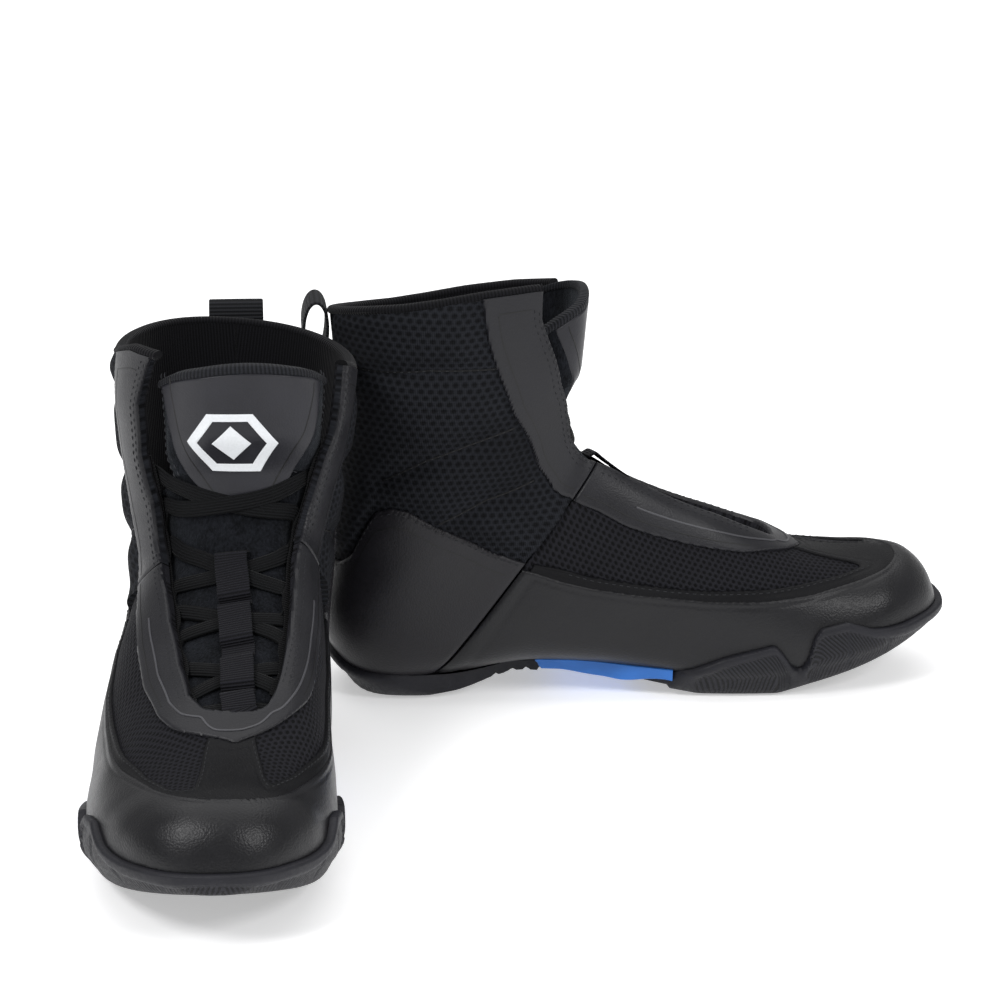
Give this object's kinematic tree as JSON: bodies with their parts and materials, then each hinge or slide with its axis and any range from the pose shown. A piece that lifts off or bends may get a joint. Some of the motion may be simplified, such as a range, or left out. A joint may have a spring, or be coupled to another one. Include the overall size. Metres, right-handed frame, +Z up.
{
  "type": "boxing boots",
  "caption": "Pair of lace-up mid-calf boxing boots with mesh uppers, smooth synthetic overlays, padded tongues, heel pull tabs and flat grooved rubber soles that wrap the toes.",
  "frame": {"origin": "middle of the pair's footprint, on the ground plane", "axes": "+Z up; the left boot's toe points along +X, turned 4.9 degrees towards +Y, and the right boot's toe points along -Y, turned 2.8 degrees towards +X"},
  "size_m": [0.3754, 0.3756, 0.1992],
  "materials": {
    "outsole_rubber": "matt moulded rubber with ribbed side and fine dimples",
    "blue_shank": "satin moulded plastic",
    "foam": "closed-cell foam",
    "board": "pressed fibre board",
    "sock_fabric": "knitted cover on foam",
    "stiffener": "thermoformed sheet",
    "lining_knit": "ribbed knit",
    "spacer_mesh": "spacer mesh with small fish-scale cells",
    "open_mesh": "open hexagon-hole mesh",
    "synthetic": "matt fine-grain synthetic leather",
    "eyestay_synthetic": "satin synthetic leather with pressed lines",
    "webbing": "ribbed webbing",
    "lace_cord": "flat woven lace with lengthwise ribs",
    "tongue_fabric": "brushed fleece over foam",
    "patch_synthetic": "satin synthetic leather"
  },
  "bodies": {
    "left_boot": {"left_outsole": "outsole_rubber", "left_arch_shank": "blue_shank", "left_midsole": "foam", "left_lasting_board": "board", "left_sockliner": "sock_fabric", "left_heel_counter": "stiffener", "left_toe_puff": "stiffener", "left_lining": "lining_knit", "left_quarter_medial": "spacer_mesh", "left_quarter_lateral": "spacer_mesh", "left_vamp_mesh": "open_mesh", "left_heel_overlay": "synthetic", "left_toe_rand": "synthetic", "left_eyestay_medial": "eyestay_synthetic", "left_eyestay_lateral": "eyestay_synthetic", "left_throat_overlay": "eyestay_synthetic", "left_toe_panel": "synthetic", "left_lace_loops_medial": "webbing", "left_lace_loops_lateral": "webbing", "left_lace": "lace_cord", "left_lace_keeper": "webbing", "left_tongue_lower": "tongue_fabric", "left_collar_binding": "lining_knit"},
    "left_tongue": {"left_tongue_flap": "tongue_fabric", "left_tongue_binding": "webbing", "left_tongue_patch": "patch_synthetic"},
    "left_tab": {"left_pull_tab": "webbing"},
    "right_boot": {"right_outsole": "outsole_rubber", "right_arch_shank": "blue_shank", "right_midsole": "foam", "right_lasting_board": "board", "right_sockliner": "sock_fabric", "right_heel_counter": "stiffener", "right_toe_puff": "stiffener", "right_lining": "lining_knit", "right_quarter_medial": "spacer_mesh", "right_quarter_lateral": "spacer_mesh", "right_vamp_mesh": "open_mesh", "right_heel_overlay": "synthetic", "right_toe_rand": "synthetic", "right_eyestay_medial": "eyestay_synthetic", "right_eyestay_lateral": "eyestay_synthetic", "right_throat_overlay": "eyestay_synthetic", "right_toe_panel": "synthetic", "right_lace_loops_medial": "webbing", "right_lace_loops_lateral": "webbing", "right_lace": "lace_cord", "right_lace_keeper": "webbing", "right_tongue_lower": "tongue_fabric", "right_collar_binding": "lining_knit"},
    "right_tongue": {"right_tongue_flap": "tongue_fabric", "right_tongue_binding": "webbing", "right_tongue_patch": "patch_synthetic"},
    "right_tab": {"right_pull_tab": "webbing"}
  },
  "joints": [
    {"name": "left_tongue_fold", "type": "hinge", "parent": "left_boot", "child": "left_tongue", "pos_m": [0.00784, 0.10673, 0.13519], "axis": [-0.0854, 0.9963, 0], "range_deg": [-6, 24], "stiffness_Nm_per_rad": 0.4},
    {"name": "left_pull_tab_swing", "type": "hinge", "parent": "left_boot", "child": "left_tab", "pos_m": [-0.09381, 0.109, 0.1533], "axis": [0.0854, -0.9963, 0], "range_deg": [0, 30], "stiffness_Nm_per_rad": 0.02},
    {"name": "right_tongue_fold", "type": "hinge", "parent": "right_boot", "child": "right_tongue", "pos_m": [-0.12012, -0.00529, 0.13519], "axis": [0.9988, 0.0489, 0], "range_deg": [-6, 24], "stiffness_Nm_per_rad": 0.4},
    {"name": "right_pull_tab_swing", "type": "hinge", "parent": "right_boot", "child": "right_tab", "pos_m": [-0.13599, 0.09515, 0.1533], "axis": [-0.9988, -0.0489, 0], "range_deg": [0, 70], "stiffness_Nm_per_rad": 0.02},
    {"name": "right_boot_lift", "type": "slide", "parent": "left_boot", "child": "right_boot", "axis": [0, 0, 1], "range_m": [0, 0.25]}
  ]
}
